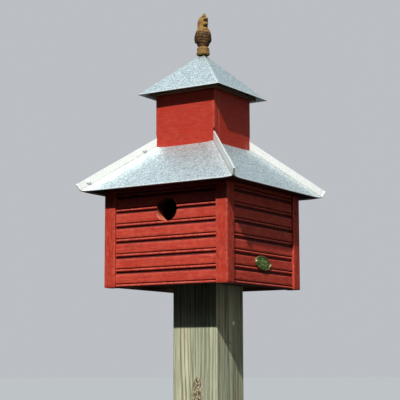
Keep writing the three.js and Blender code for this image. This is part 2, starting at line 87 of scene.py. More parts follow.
def add_camera():
    """The photograph's view: a long lens from below the eaves, to the right of the front."""
    camera = bpy.data.objects.new("camera", bpy.data.cameras.new("camera"))
    bpy.context.scene.collection.objects.link(camera)
    camera.data.sensor_width = 36
    camera.data.lens = LENS
    camera.data.clip_end = 100
    pitch, roll, heading = (
        Matrix.Rotation(angle, 4, axis) for angle, axis in zip(CAMERA_TURN, "XZZ")
    )
    camera.matrix_world = Matrix.Translation(CAMERA_AT) @ heading @ pitch @ roll
    bpy.context.scene.camera = camera


def add_studio():
    """A pale floor, a soft key from the front right, and a sky that is brighter overhead."""
    world = bpy.data.worlds.new("studio")
    bpy.context.scene.world = world
    world.use_nodes = True
    nodes, links = world.node_tree.nodes, world.node_tree.links
    fill, seen = nodes["Background"], nodes.new("ShaderNodeBackground")
    fill.inputs["Color"].default_value = SKY_COLOR
    seen.inputs["Color"].default_value = BACKDROP
    toward, split = nodes.new("ShaderNodeTexCoord"), nodes.new("ShaderNodeSeparateXYZ")
    rise = nodes.new("ShaderNodeMapRange")
    rise.interpolation_type = "SMOOTHSTEP"
    for key, value in zip(("From Min", "From Max", "To Min", "To Max"), (*SKY_RISE, *SKY)):
        rise.inputs[key].default_value = value
    links.new(toward.outputs["Generated"], split.inputs[0])
    links.new(split.outputs["Z"], rise.inputs["Value"])
    links.new(rise.outputs[0], fill.inputs["Strength"])
    path, mix = nodes.new("ShaderNodeLightPath"), nodes.new("ShaderNodeMixShader")
    links.new(path.outputs["Is Camera Ray"], mix.inputs[0])
    links.new(fill.outputs[0], mix.inputs[1])
    links.new(seen.outputs[0], mix.inputs[2])
    links.new(mix.outputs[0], nodes["World Output"].inputs["Surface"])

    for name, strength, softness, heading, color in (
        ("key", KEY_STRENGTH, KEY_SOFTNESS, KEY_FROM, (1.0, 0.975, 0.94)),
        ("side", SIDE_STRENGTH, SIDE_SOFTNESS, SIDE_FROM, (1.0, 0.97, 0.9)),
    ):
        light = bpy.data.objects.new(name, bpy.data.lights.new(name, "SUN"))
        light.data.energy = strength
        light.data.color = color
        light.data.angle = softness
        light.rotation_euler = Vector(heading).to_track_quat("Z", "Y").to_euler()
        bpy.context.scene.collection.objects.link(light)

    bpy.ops.mesh.primitive_circle_add(vertices=96, radius=14, fill_type="NGON")
    floor = bpy.context.object
    floor.name = "floor"
    shader = Shader("floor_pale")
    shader.put("Base Color", srgb(160, 162, 164))
    shader.put("Roughness", 0.9)
    floor.data.materials.append(shader.material)
    floor.visible_diffuse = False  # the undersides stay in shade, as under an open sky
    floor.visible_glossy = False


# ---- materials


def srgb(red, green, blue):
    """A colour given as 0 to 255 display values, as the linear colour that a shader takes."""
    shares = [value / 255 for value in (red, green, blue)]
    return (*[((c + 0.055) / 1.055) ** 2.4 if c > 0.04 else c / 12.92 for c in shares], 1)


class Shader:
    """A material, built up node by node."""

    def __init__(self, name):
        self.material = bpy.data.materials.new(name)
        self.material.use_nodes = True
        tree = self.material.node_tree
        self.nodes, self.links = tree.nodes, tree.links
        self.surface = self.nodes["Principled BSDF"]
        self.place = self.node("ShaderNodeTexCoord").outputs["Object"]

    def node(self, kind, inputs=(), **settings):
        made = self.nodes.new(kind)
        for key, value in settings.items():
            setattr(made, key, value)
        for key, value in dict(inputs).items():
            self.join(made.inputs[key], value)
        return made

    def join(self, socket, value):
        if isinstance(value, bpy.types.NodeSocket):
            self.links.new(value, socket)
        else:
            socket.default_value = value

    def put(self, socket, value):
        self.join(self.surface.inputs[socket], value)

    def math(self, operation, a, b=0.0):
        return self.node("ShaderNodeMath", {0: a, 1: b}, operation=operation).outputs[0]

    def noise(self, scale, stretch=(1, 1, 1), detail=3.0, roughness=0.5, distortion=0.0):
        inputs = {0: self.place, 1: stretch}
        place = self.node("ShaderNodeVectorMath", inputs, operation="MULTIPLY")
        inputs = {
            "Vector": place.outputs[0],
            "Scale": scale,
            "Detail": detail,
            "Roughness": roughness,
            "Distortion": distortion,
        }
        return self.node("ShaderNodeTexNoise", inputs).outputs["Fac"]

    def cells(self, scale):
        inputs = {"Vector": self.place, "Scale": scale}
        return self.node("ShaderNodeTexVoronoi", inputs).outputs["Color"]

    def ramp(self, value, stops):
        """Stops are pairs of a place from 0 to 1 and a colour."""
        node = self.node("ShaderNodeValToRGB", {"Fac": value})
        elements = node.color_ramp.elements
        while len(elements) < len(stops):
            elements.new(0.5)
        for element, (at, color) in zip(elements, stops):
            element.position = at
            element.color = color
        return node.outputs["Color"]

    def span(self, value, low, high, to_low=0.0, to_high=1.0):
        keys = ("Value", "From Min", "From Max", "To Min", "To Max")
        inputs = dict(zip(keys, (value, low, high, to_low, to_high)))
        return self.node("ShaderNodeMapRange", inputs).outputs[0]

    def mix(self, factor, a, b):
        node = self.node("ShaderNodeMix", data_type="RGBA")
        for key, value in ((0, factor), (6, a), (7, b)):
            self.join(node.inputs[key], value)
        return node.outputs[2]

    def attribute(self, name):
        return self.node("ShaderNodeAttribute", attribute_name=name).outputs["Fac"]

    def axes(self):
        return self.node("ShaderNodeSeparateXYZ", {0: self.place}).outputs

    def bump(self, *layers):
        """Layers are pairs of a height, from 0 to 1, and its depth in metres."""
        normal = None
        for height, depth in layers:
            inputs = {"Height": height, "Distance": depth, "Strength": 1.0}
            if normal:
                inputs["Normal"] = normal
            normal = self.node("ShaderNodeBump", inputs).outputs[0]
        self.put("Normal", normal)


FINE = 9  # how much longer than wide the marks of wood grain are
GRAIN_ALONG = {"level": (1 / FINE, 1 / FINE, 1), "upright": (1, 1, 1 / FINE)}


def barn_red_paint(name, grain, deep, pale, life=1.0):
    """Brushed exterior paint over wood: grain telegraphs through it, with worn arrises that also
    carry a painted highlight, and painted shade in recesses.
    """
    shader = Shader(f"barn_red_{name}")
    along = GRAIN_ALONG[grain]
    fibres = shader.noise(640, along, 4, 0.65)
    brush = shader.noise(210, along, 3, 0.6)
    patches = shader.noise(17, (1, 1, 1), 4, 0.6)
    blotch = shader.noise(95, (1, 1, 1), 4, 0.65)
    base = shader.ramp(patches, [(0.32, deep), (0.7, pale)])
    base = shader.mix(shader.span(brush, 0.38, 0.68, 0, 0.5 * life), base, srgb(138, 32, 20))
    base = shader.mix(shader.span(fibres, 0.48, 0.68, 0, 0.5 * life), base, srgb(212, 92, 70))
    base = shader.mix(shader.span(blotch, 0.48, 0.7, 0, 0.4 * life), base, srgb(208, 94, 72))
    wear = shader.attribute("wear")
    chips = shader.noise(260, (1, 1, 1), 3, 0.65)
    # Worn paint on arrises, plus a painted pinkish highlight on the beads' crests and eased edges.
    worn = shader.math("MULTIPLY", wear, shader.span(chips, 0.44, 0.64))
    base = shader.mix(shader.math("MULTIPLY", worn, 0.5), base, srgb(204, 122, 104))
    # Painted shade: quirks and grooves darkened towards near black.
    base = shader.mix(shader.math("MULTIPLY", shader.attribute("dirt"), 0.8), base, srgb(28, 3, 2))
    shader.put("Base Color", base)
    shader.put("Roughness", shader.span(brush, 0.3, 0.7, 0.38, 0.56))
    shader.put("Specular IOR Level", 0.5)
    shader.bump((fibres, 0.2 * MM), (brush, 0.35 * MM), (blotch, 0.2 * MM))
    return shader.material


def galvanized_sheet():
    """Hot-dip galvanized sheet: a fine spangle, dulled by weather, with a painted highlight
    (whiter, less metallic metal) and painted shade in creases.
    """
    shader = Shader("galvanized_sheet")
    speckle = shader.noise(620, (1, 1, 1), 3, 0.75)
    cloud = shader.noise(15, (1, 1, 1), 4, 0.6)
    tone = shader.math("MULTIPLY", shader.span(speckle, 0.3, 0.7), 0.5)
    for scale, share in ((520, 0.42), (170, 0.08)):
        spangle = shader.span(shader.cells(scale), 0.2, 0.8, 0, share)
        tone = shader.math("ADD", tone, spangle)
    base = shader.ramp(tone, [(0.22, srgb(142, 162, 168)), (0.78, srgb(246, 254, 251))])
    base = shader.mix(shader.span(cloud, 0.42, 0.7, 0, 0.14), base, srgb(160, 180, 186))
    # Painted highlight: whiter, less metallic metal on flanges, hems, rivets, hips and eaves.
    fresh = shader.math("MULTIPLY", shader.attribute("fresh"), 0.9)
    bright = shader.ramp(tone, [(0.2, srgb(234, 238, 234)), (0.8, srgb(254, 255, 253))])
    base = shader.mix(fresh, base, bright)
    # Painted shade: a dark line in the crease at each flange's foot.
    dirt = shader.math("MULTIPLY", shader.attribute("dirt"), 0.85)
    base = shader.mix(dirt, base, srgb(84, 82, 80))
    shader.put("Base Color", base)
    shader.put("Metallic", shader.span(fresh, 0, 0.9, 0.88, 0.5))
    shader.put("Roughness", shader.span(tone, 0.2, 0.8, 0.56, 0.44))
    shader.bump((speckle, 0.06 * MM), (cloud, 0.5 * MM))
    return shader.material


def bare_wood(name, grain, light, dark):
    """Planed softwood: growth rings met at a low angle, as long stripes."""
    shader = Shader(name)
    along = GRAIN_ALONG[grain]
    bend = shader.noise(9, along, 2, 0.5)
    x, y, z = (shader.axes()[i] for i in range(3))
    across = shader.math("ADD", x, z) if grain == "level" else shader.math("ADD", x, y)
    bent = shader.math("MULTIPLY", bend, 9)
    stripe = shader.math("FRACT", shader.math("ADD", shader.math("MULTIPLY", across, 160), bent))
    fibres = shader.noise(800, along, 4, 0.6)
    base = shader.ramp(stripe, [(0.0, light), (0.72, light), (0.92, dark), (1.0, light)])
    base = shader.mix(shader.span(fibres, 0.45, 0.75, 0, 0.45), base, dark)
    shader.put("Base Color", base)
    shader.put("Roughness", 0.78)
    shader.bump((fibres, 0.2 * MM), (stripe, 0.08 * MM))
    return shader.material


def bore_wood():
    """The entry hole's bore: worn orange below, and darkened above by painted shade."""
    shader = Shader("bore_wood")
    fibres = shader.noise(480, (1, 0.2, 1), 3, 0.6)
    worn = shader.ramp(fibres, [(0.4, srgb(160, 74, 46)), (0.65, srgb(214, 116, 78))])
    # Painted shade: the bore's upper part darkened towards near black.
    painted_shade_above = shader.span(shader.axes()[2], HOLE_MIDDLE.z - 9 * MM, HOLE_MIDDLE.z + 3 * MM)
    shader.put("Base Color", shader.mix(painted_shade_above, worn, srgb(30, 10, 7)))
    shader.put("Roughness", 0.7)
    shader.bump((fibres, 0.15 * MM))
    return shader.material


def metal(name, light, dark, roughness, scale=500, metallic=1.0, depth=0.03):
    """Plated or polished metal with small mottling."""
    shader = Shader(name)
    mottle = shader.noise(scale, (1, 1, 1), 3, 0.6)
    shader.put("Base Color", shader.ramp(mottle, [(0.35, dark), (0.65, light)]))
    shader.put("Metallic", metallic)
    shader.put("Roughness", shader.span(mottle, 0.3, 0.7, roughness + 0.12, roughness))
    shader.bump((mottle, depth * MM))
    return shader.material


def rusty_iron():
    """Cast iron under rust: orange on what stands out, brown to black in the hollows, and painted
    shadow under the bird's beak and wattle.
    """
    shader = Shader("rusty_iron")
    grit = shader.noise(1100, (1, 1, 1), 4, 0.65)
    bloom = shader.noise(210, (1, 1, 1), 4, 0.6)
    hollow = shader.attribute("hollow")
    tone = shader.math("MULTIPLY_ADD", bloom, 0.55)
    shader.join(tone.node.inputs[2], shader.math("MULTIPLY", grit, 0.45))
    rust = [
        (0.3, srgb(80, 56, 26)),
        (0.46, srgb(130, 98, 46)),
        (0.6, srgb(160, 126, 68)),
        (0.76, srgb(188, 158, 100)),
    ]
    base = shader.mix(hollow, shader.ramp(tone, rust), srgb(48, 20, 6))
    shader.put("Base Color", base)
    shader.put("Metallic", 0.1)
    shader.put("Roughness", shader.span(grit, 0.3, 0.7, 0.72, 0.92))
    shader.bump((grit, 0.3 * MM), (bloom, 0.5 * MM))
    return shader.material


# ---- mesh helpers


def piece(name, shape, values=None):
    """A mesh object from a bmesh. values are float attributes, one number for each vertex."""
    mesh = bpy.data.meshes.new(name)
    shape.to_mesh(mesh)
    shape.free()
    for key, numbers in (values or {}).items():
        give(mesh, key, numbers)
    obj = bpy.data.objects.new(name, mesh)
    bpy.context.scene.collection.objects.link(obj)
    return obj


def give(mesh, key, numbers):
    mesh.attributes.new(key, "FLOAT", "POINT").data.foreach_set("value", numbers)


def soften(obj, smooth_below=38):
    obj.data.shade_smooth()
    obj.data.set_sharp_from_angle(angle=smooth_below * DEG)


def loft(shape, rings, ring_closed=True, ends_closed=True):
    """Adds faces between rings of points, one ring after another, to a bmesh."""
    made = [[shape.verts.new(point) for point in ring] for ring in rings]
    for a, b in zip(made, made[1:]):
        for i in range(0 if ring_closed else 1, len(a)):
            shape.faces.new((a[i - 1], a[i], b[i], b[i - 1]))
    if ends_closed:
        shape.faces.new(made[0])
        shape.faces.new(made[-1])


def skin(name, rings, values=None, ends_closed=True, smooth_below=38):
    """A surface through closed rings of points."""
    shape = bmesh.new()
    loft(shape, rings, True, ends_closed)
    bmesh.ops.recalc_face_normals(shape, faces=shape.faces)
    obj = piece(name, shape, values)
    soften(obj, smooth_below)
    return obj


def apply_modifiers(obj):
    graph = bpy.context.evaluated_depsgraph_get()
    graph.update()
    mesh = bpy.data.meshes.new_from_object(obj.evaluated_get(graph))
    obj.modifiers.clear()
    obj.data = mesh


def carve(obj, *cutters):
    """Cuts closed pieces out of another, and removes them."""
    for cutter in cutters:
        cut = obj.modifiers.new("cut", "BOOLEAN")
        cut.operation = "DIFFERENCE"
        cut.solver = "EXACT"
        cut.object = cutter
    apply_modifiers(obj)
    for cutter in cutters:
        bpy.data.objects.remove(cutter)
    soften(obj)


def place_at(origin, out, up=(0, 0, 1)):
    """A matrix whose local Z points out and whose local Y is as near up as it can be."""
    z = Vector(out).normalized()
    x = Vector(up).cross(z).normalized()
    y = z.cross(x)
    turn = Matrix((x, y, z)).transposed().to_4x4()
    return Matrix.Translation(origin) @ turn


def turned(name, outline, place, sides=32, values=None):
    """A round piece from pairs of radius and height, along the place's Z."""
    rings = []
    for radius, height in outline:
        angles = [2 * math.pi * i / sides for i in range(sides)]
        r = max(radius, 1e-5)
        rings.append([place @ Vector((r * math.cos(a), r * math.sin(a), height)) for a in angles])
    return skin(name, rings, values)


def dome(radius, high, base=0.0, steps=6):
    """The outline of a domed head, from its edge to its middle."""
    angles = [90 * i / steps * DEG for i in range(steps)]
    return [(radius * math.cos(a), base + high * math.sin(a)) for a in angles] + [(0, base + high)]


def block(name, low, high, place=None):
    """A plain box to cut with."""
    xs, ys = (low[0], high[0]), (low[1], high[1])
    corners = [(xs[i], ys[j]) for i, j in ((0, 0), (1, 0), (1, 1), (0, 1))]
    rings = [[Vector((x, y, z)) for x, y in corners] for z in (low[2], high[2])]
    if place:
        rings = [[place @ point for point in ring] for ring in rings]
    return skin(name, rings)


def rounded_section(wide, deep, radius, gap, arc_steps=4):
    """Points round a rectangle with eased corners, and how much each one is a corner."""
    points, corner = [], []
    reach = (wide / 2 - radius, deep / 2 - radius)
    for quarter, (sx, sy) in enumerate(((1, 1), (-1, 1), (-1, -1), (1, -1))):
        for i in range(arc_steps + 1):
            angle = (quarter + i / arc_steps) * 90 * DEG
            x = sx * reach[0] + radius * math.cos(angle)
            points.append((x, sy * reach[1] + radius * math.sin(angle)))
            corner.append(math.sin(math.pi * i / arc_steps) * 0.6 + 0.4)
        length = 2 * reach[quarter % 2]
        count = max(1, round(length / gap))
        (x0, y0) = points[-1]
        along = ((-1, 0), (0, -1), (1, 0), (0, 1))[quarter]
        for i in range(1, count):
            points.append((x0 + along[0] * length * i / count, y0 + along[1] * length * i / count))
            corner.append(0.0)
    return points, corner


def timber(name, low, high, grain, ease=1.2 * MM, gap=6 * MM, relief=None):
    """A board or post with eased edges, swept along its grain. relief gives each point's height."""
    axis = "XYZ".index(grain)
    u, v = [(1, 2), (2, 0), (0, 1)][axis]
    low, high = Vector(low), Vector(high)
    middle, size = (low + high) / 2, high - low
    count = max(2, round(size[axis] / gap))
    stations = [(0, ease), (0.3 * ease, 0.3 * ease), (ease, 0)]
    inner = size[axis] - 2 * ease
    stations += [(ease + inner * i / count, 0) for i in range(1, count)]
    stations += [(size[axis] - s, inset) for s, inset in reversed(stations[:3])]
    section, corner = rounded_section(size[u], size[v], ease, gap)
    rings, wear = [], []
    for along, inset in stations:
        ring = []
        shrink = (1 - 2 * inset / size[u], 1 - 2 * inset / size[v])
        for (a, b), edge in zip(section, corner):
            point = Vector()
            point[axis] = low[axis] + along
            point[u] = middle[u] + a * shrink[0]
            point[v] = middle[v] + b * shrink[1]
            out = Vector()
            out[u], out[v] = a / size[u], b / size[v]
            major = u if abs(out[u]) > abs(out[v]) else v
            push = Vector()
            push[major] = math.copysign(1, out[major])
            height = relief(point) if relief else 0.12 * MM * noise.noise(point * 60)
            ring.append(point + push * height)
            # Eased edges take the mark for worn paint and painted highlight.
            wear.append(max(edge, 1.0 if inset else 0.0))
        rings.append(ring)
    return skin(name, rings, {"wear": wear})


def dress(obj, materials, nodes, body="house", choose=None):
    """Gives a piece its materials, its body and the CAD nodes that it stands for."""
    obj.data.materials.clear()
    for material in materials:
        obj.data.materials.append(material)
    for face in obj.data.polygons:
        face.material_index = choose(face.center, face.normal) if choose else 0
    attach(obj, body)
    if nodes:
        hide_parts(*nodes)


def quarter_turn(side):
    return Matrix.Rotation(SIDES.index(side) * 90 * DEG, 4, "Z")


# ---- the looks of each material slot

add_camera()
add_studio()

RED = {
    "siding": barn_red_paint("siding", "level", srgb(172, 48, 34), srgb(186, 62, 46)),
    "trim": barn_red_paint("trim", "upright", srgb(164, 42, 26), srgb(174, 48, 30)),
    "cupola": barn_red_paint("cupola", "level", srgb(166, 42, 26), srgb(174, 46, 29), 0.4),
}
SHEET = galvanized_sheet()
IRON = rusty_iron()
BARE = {
    grain: bare_wood(f"bare_wood_{grain}", grain, srgb(164, 122, 80), srgb(112, 76, 46))
    for grain in GRAIN_ALONG
}
# Painted shade: a darker copy of the bare wood for the boards under the eaves.
SHADED_SOFFIT_WOOD = bare_wood("soffit_wood", "level", srgb(98, 72, 46), srgb(62, 42, 26))
BORE_WOOD = bore_wood()
ZINC = metal("zinc_plate", srgb(212, 214, 214), srgb(160, 164, 166), 0.42, 500, 0.6)
# Painted glint: near-white zinc, so that a screw in the shade shows bright.
GLINT_ZINC = metal("dull_zinc", srgb(254, 254, 252), srgb(226, 230, 228), 0.5, 600, 0.1)
BRASS = metal("dull_brass", srgb(176, 152, 108), srgb(92, 76, 48), 0.46, 700, 0.7)
ENAMEL = metal("green_enamel", srgb(104, 140, 60), srgb(36, 58, 26), 0.34, 330, 0.0, 0.1)
PALE_BRASS = metal("pale_brass", srgb(232, 226, 186), srgb(170, 160, 110), 0.4, 500, 0.3)
LEAF_BRASS = metal("leaf_brass", srgb(164, 168, 104), srgb(92, 100, 52), 0.5, 420, 0.2)


# ---- siding

REPEAT = 25.9 * MM
FIRST_BEAD = 2.95 * MM
BEAD = 2 * MM
QUIRK = (2 * MM, 1.8 * MM)  # depth and height
GROOVE = (3.8 * MM, 4.7 * MM)


def siding_outline(top):
    """The siding's section from the bottom up: out from the axis, height, worn paint with painted
    highlight, and painted shade.
    """
    face = SIDING_FACE
    deep, high = GROOVE
    nick, gap = QUIRK
    outline = []
    bead = UNDER + FIRST_BEAD
    while bead < top:
        # The bead's outward face takes the mark for worn paint and painted highlight.
        for i in range(13):
            angle = (-90 + 15 * i) * DEG
            out, up = BEAD * math.cos(angle), BEAD * math.sin(angle)
            outline.append((face - BEAD + out, bead + up, max(0.0, math.cos(angle)), 0.0))
        lip = bead + BEAD
        # Third number: worn paint and painted highlight; fourth: painted shade, full in the quirk
        # and in the groove behind each bead.
        outline += [
            (face - nick, lip + 0.1 * MM, 0, 1),
            (face - nick, lip + 0.35 * gap, 0, 1),
            (face - 0.5 * nick, lip + 0.75 * gap, 0, 0.6),
            (face - 0.12 * nick, lip + gap, 0.5, 0),
            (face, lip + gap + 0.5 * MM, 0.2, 0),
        ]
        flat_top = bead + REPEAT - BEAD - high
        low, rows = lip + gap + 0.5 * MM, 5
        step = (flat_top - 0.8 * MM - low) / rows
        outline += [(face, low + step * i, 0, 0) for i in range(1, rows)]
        outline += [
            (face, flat_top - 0.8 * MM, 0.2, 0),
            (face - 0.2 * MM, flat_top - 0.25 * MM, 0.9, 0),
            (face - 0.7 * MM, flat_top, 0.4, 0.1),
            (face - deep + 0.3 * MM, flat_top + 0.2 * MM, 0, 0.8),
            (face - deep, flat_top + 0.6 * MM, 0, 1),
            (face - deep, flat_top + high - 0.3 * MM, 0, 1),
        ]
        bead += REPEAT
    outline = [point for point in outline if point[1] < top - 0.2 * MM]
    return outline + [(outline[-1][0], top, 0.2, 0)]


def siding(name, node, side, half, top, body="house", cutters=()):
    """One wall of beaded boards, painted outside and bare inside."""
    outline = siding_outline(top)
    outline += [(INNER_HALF, top, 0, 0), (INNER_HALF, outline[0][1], 0, 0)]
    turn = quarter_turn(side)
    columns = 44
    # Per point: the mark for worn paint and painted highlight, and painted shade.
    rings, wear, dirt = [], [], []
    for i in range(columns + 1):
        x = half * (2 * i / columns - 1)
        ring = []
        for out, z, edge, shaded in outline:
            board = math.floor((z - UNDER - FIRST_BEAD + BEAD + 0.2 * MM) / REPEAT)
            seed = Vector((x * 9, board * 7.3, SIDES.index(side) * 11.1))
            shift = 0.22 * MM * noise.noise(seed) if out > INNER_HALF + MM else 0
            ring.append(turn @ Vector((x, -out - shift, z)))
            wear.append(edge)
            dirt.append(shaded)
        rings.append(ring)
    wall = skin(name, rings, {"wear": wear, "dirt": dirt}, smooth_below=32)
    if cutters:
        carve(wall, *cutters)
    outward = turn @ Vector((0, -1, 0))

    def choose(center, normal):
        """The inner face and the entry hole's bore are bare wood."""
        inner = normal.dot(outward) < -0.9 and center.dot(outward) < INNER_HALF + 0.4 * MM
        on_axis = HOLE_MIDDLE - center
        from_axis = math.hypot(on_axis.x, on_axis.z)
        in_bore = side == "front" and from_axis < HOLE_RADIUS + 0.3 * MM
        return 1 if inner else 2 if in_bore else 0

    materials = [RED["siding"], BARE["level"], BORE_WOOD]
    dress(wall, materials, [node], body, choose)


def entry_hole_cutter():
    """A round cutter whose outer end flares, so that the hole's edge is eased."""
    radius, ease = HOLE_RADIUS, 1.2 * MM
    outline = [
        (radius, -40 * MM),
        (radius, -ease),
        (radius + 0.35 * ease, -0.35 * ease),
        (radius + ease, 0),
        (radius + ease, 12 * MM),
    ]
    return turned("hole_cutter", outline, place_at(HOLE_MIDDLE, (0, -1, 0)), 96)


def add_siding():
    wall_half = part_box("front_wall")[1].x
    door_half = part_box("cleanout_door")[1].x
    cutters = [entry_hole_cutter()]
    siding("siding_front", "front_wall", "front", wall_half, WALL_HIGH, cutters=cutters)
    siding("siding_right", "right_wall", "right", wall_half, WALL_HIGH)
    siding("siding_left", "left_wall", "left", wall_half, WALL_HIGH)
    siding("siding_door", "cleanout_door", "rear", door_half, DOOR_HIGH, "door")


def add_corner_posts():
    for name in ("front_left", "front_right", "rear_left", "rear_right"):
        node = f"corner_post_{name}"
        post = timber(f"trim_{name}", *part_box(node), "Z", 0.8 * MM, 5 * MM)
        dress(post, [RED["trim"]], [node])


# ---- lower roof

SHEET_THICK = 0.8 * MM
ROOF_PITCH = 40.9 * DEG
EAVE_HALF = 155.2 * MM
EAVE_Z = UNDER + 167.4 * MM
SEAM_HIGH = 13 * MM
SEAM_INSET = 0.95 * MM  # from the diagonal plane to a flange's open face
SEAM_INNER_R = 76 * MM
PANEL_TOP_HALF = CUPOLA_HIGH.x + 0.6 * MM


def roof_height(half):
    return EAVE_Z + (EAVE_HALF - half) * math.tan(ROOF_PITCH)


def hip_frame(sign):
    """The hip on the front panel's left (-1) or right (1): inwards, across to the panel, and up."""
    away = Vector((sign, -1, 0)).normalized()
    inner = away * SEAM_INNER_R + Vector((0, 0, roof_height(SEAM_INNER_R / math.sqrt(2))))
    outer = away * EAVE_HALF * math.sqrt(2) + Vector((0, 0, EAVE_Z))
    inwards = (inner - outer).normalized()
    across = Vector((-sign, -1, 0)).normalized()
    up = inwards.cross(across) * sign
    return outer, inwards, across, up if up.z > 0 else -up


def panel_lift(half, x, seed):
    """How far the sheet stands off its flat plane: up towards the hips, hollow between them."""
    reach = 22 * MM
    from_hip = 0.8 * (half - abs(x))
    rise = max(0.0, 1 - from_hip / reach) ** 2
    ripple = 0.35 * MM * noise.noise(Vector((x * 14, half * 14, seed)))
    return 0.8 * MM * rise - 1.3 * MM * (1 - rise) + ripple


def panel_rows():
    """The panel's section from the end of its eave hem to the cupola: (half, z, on the face)."""
    down = Vector((math.cos(ROOF_PITCH), -math.sin(ROOF_PITCH)))  # outwards and down the slope
    normal = Vector((math.sin(ROOF_PITCH), math.cos(ROOF_PITCH)))
    eave = Vector((EAVE_HALF, EAVE_Z))
    fold = 0.95 * MM
    middle = eave - fold * normal - fold * down
    rows = [(eave - 2 * fold * normal - (7 * MM - i * 3 * MM) * down, False) for i in range(3)]
    for i in range(7):
        angle = (-90 + 30 * i) * DEG
        offset = fold * (math.sin(angle) * normal + math.cos(angle) * down)
        rows.append((middle + offset, False))
    length = (EAVE_HALF - PANEL_TOP_HALF) / math.cos(ROOF_PITCH)
    count = 26
    for i in range(1, count + 1):
        rows.append((eave - down * (fold + (length - fold) * i / count), True))
    return rows


def panel_columns(limit):
    """Places across the panel, close together beside the hips' creases."""
    near = [step * MM for step in (0, 0.5, 1.0, 1.6, 2.4, 3.6, 5.5, 8, 11, 15, 20)]
    inner, count = limit - 25 * MM, 24
    middle = [inner * (2 * i / count - 1) for i in range(count + 1)]
    return [d - limit for d in near] + middle + [limit - d for d in reversed(near)]


def sheet_marks(point):
    """How much painted highlight and painted shade the front panel's metal takes at a point."""
    half = -point.y
    from_hip = (half - abs(point.x)) / math.sqrt(2)
    rise = point.z - roof_height(half)
    # On a flange: full painted highlight, with painted shade near its foot.
    if from_hip < 1.5 * MM and rise > 0.6 * MM:
        return 1.0, 0.9 * math.exp(-((rise / MM / 1.4) ** 2))
    # On the panel: a narrow line of painted shade beside the crease.
    line = 0.9 * math.exp(-(((from_hip / MM - 1.2) / 0.8) ** 2))
    # Painted highlight along the eave hem, and fading out from the hips across the panel.
    hem = 0.8 * max(0.0, 1 - (EAVE_HALF - half) / (3 * MM))
    return max(hem, 0.42 * max(0.0, 1 - from_hip / (16 * MM))), line


def add_roof_panel(side, seed):
    """A hemmed sheet with a flange on both hips, bent up from one piece."""
    rows = panel_rows()
    normal = Vector((0, -math.sin(ROOF_PITCH), math.cos(ROOF_PITCH)))
    shape = bmesh.new()
    lines, face_lines = [], []
    for (half, z), on_face in rows:
        columns = panel_columns(half - SEAM_INSET * math.sqrt(2))
        lines.append([Vector((x, -half, z)) + normal * panel_lift(half, x, seed) for x in columns])
        if on_face:
            face_lines.append(lines[-1])
    loft(shape, lines, False, False)
    for sign in (-1, 1):
        outer, _, across, up = hip_frame(sign)
        feet = [line[0 if sign < 0 else -1] for line in face_lines]
        step = (feet[-1] - feet[-2]).normalized()
        short = Vector((feet[-1].x, feet[-1].y, 0)).length - SEAM_INNER_R
        feet = [outer + across * SEAM_INSET, *feet]
        feet += [feet[-1] + step * short / Vector((step.x, step.y, 0)).length * i for i in (0.5, 1)]
        flange = [
            [
                foot + up * SEAM_HIGH * t + across * bow(t, k, seed + sign)
                for t in (0, 0.05, 0.12, 0.25, 0.5, 0.75, 0.93, 1)
            ]
            for k, foot in enumerate(feet)
        ]
        loft(shape, flange, False, False)
    bmesh.ops.remove_doubles(shape, verts=shape.verts, dist=1e-6)
    bmesh.ops.recalc_face_normals(shape, faces=shape.faces)
    if sum(f.normal.z * f.calc_area() for f in shape.faces) < 0:
        bmesh.ops.reverse_faces(shape, faces=shape.faces)
    # Painted highlight and painted shade for each point of the sheet.
    marks = zip(*[sheet_marks(vert.co) for vert in shape.verts])
    panel = piece(f"sheet_{side}", shape, dict(zip(("fresh", "dirt"), marks)))
    panel.data.transform(quarter_turn(side))
    thicken(panel)
    dress(panel, [SHEET], [f"roof_panel_{side}"])


def thicken(obj):
    """Gives a folded surface the sheet's thickness, on its inner side."""
    sheet = obj.modifiers.new("sheet", "SOLIDIFY")
    sheet.thickness = SHEET_THICK
    sheet.offset = -1
    apply_modifiers(obj)
    soften(obj, 30)


def bow(t, k, seed):
    """The slight wave of a flange's free edge."""
    return 0.3 * MM * t * max(0.0, noise.noise(Vector((k * 0.35, seed * 3.1, 0))))


def add_seam_details():
    """Hems folded over the flanges' outer ends, and the domed rivets through the seams."""
    for side in SIDES:
        turn = quarter_turn(side)
        for sign, hand in ((-1, "left"), (1, "right")):
            outer, inwards, across, up = hip_frame(sign)
            corner = outer + across * (SEAM_INSET + 0.1 * MM) + up * 0.3 * MM
            place = turn @ place_at(corner, across, up)
            local_in = (place.to_3x3().inverted() @ (turn.to_3x3() @ inwards)).x
            x0, x1 = (0, 2.4 * MM) if local_in > 0 else (-2.4 * MM, 0)
            low, high = (x0, 0, 0), (x1, SEAM_HIGH - 0.4 * MM, 0.8 * MM)
            hem = timber(f"seam_hem_{side}_{hand}", low, high, "Y", 0.3 * MM, 3 * MM)
            # The hems take full painted highlight.
            give(hem.data, "fresh", [1.0] * len(hem.data.vertices))
            hem.data.transform(place)
            dress(hem, [SHEET], [])
    for node in sorted(frame["nodes"]):
        if not node.startswith("seam_rivet"):
            continue
        low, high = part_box(node)
        center = (low + high) / 2
        away = Vector((center.x, center.y, 0)).normalized()
        across = away.cross(Vector((0, 0, 1)))
        plate = SEAM_INSET + 0.1 * MM
        tail = [(0, -plate - 0.7 * MM), (1.3 * MM, -plate - 0.65 * MM), (1.6 * MM, -plate)]
        stem = [(1.4 * MM, -plate), (1.4 * MM, plate)]
        skirt = [(3.4 * MM, plate), (3.5 * MM, plate + 0.6 * MM), (4.1 * MM, plate + 0.7 * MM)]
        outline = tail + stem + skirt + dome(4.1 * MM, 0.5 * MM, plate + 1.1 * MM)
        # The rivets take full painted highlight, as white as the flanges.
        fresh = {"fresh": [1.0] * (28 * len(outline))}
        rivet = turned(node.replace("seam_", ""), outline, place_at(center, -across), 28, fresh)
        dress(rivet, [SHEET], [node])


